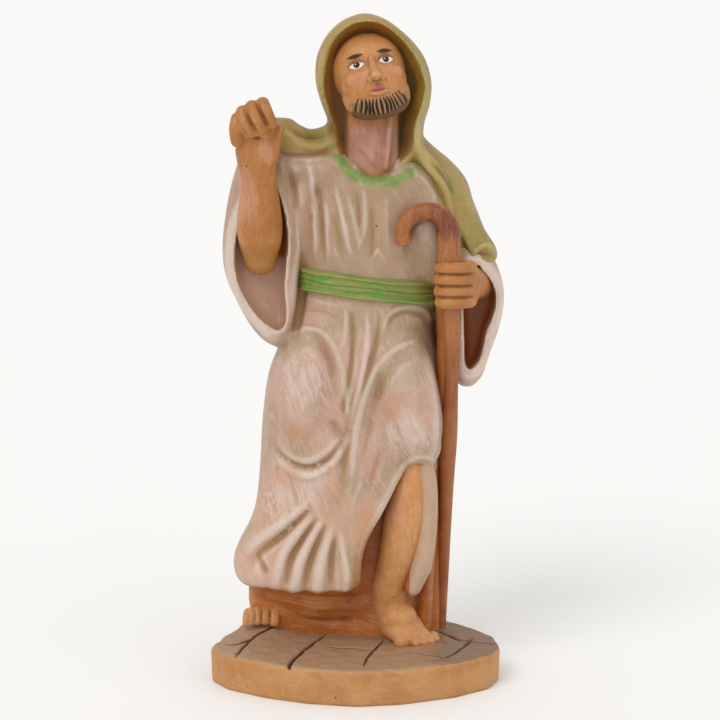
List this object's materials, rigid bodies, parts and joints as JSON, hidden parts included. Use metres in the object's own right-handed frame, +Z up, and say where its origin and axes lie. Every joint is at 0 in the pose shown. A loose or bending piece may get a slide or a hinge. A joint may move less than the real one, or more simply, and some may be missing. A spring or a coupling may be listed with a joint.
{
  "type": "nativity shepherd figurine",
  "caption": "Painted cast figurine of a hooded shepherd walking with a crook, one hand raised, on an oval plinth.",
  "frame": {"origin": "middle of the plinth's flat underside", "axes": "+Z up to the hood, -Y the figure's front, +X the viewer's right"},
  "size_m": [0.0527, 0.0349, 0.12],
  "materials": {
    "painted_resin": "brush-painted satin"
  },
  "bodies": {
    "root": {"shepherd_figurine": "painted_resin"}
  },
  "joints": []
}
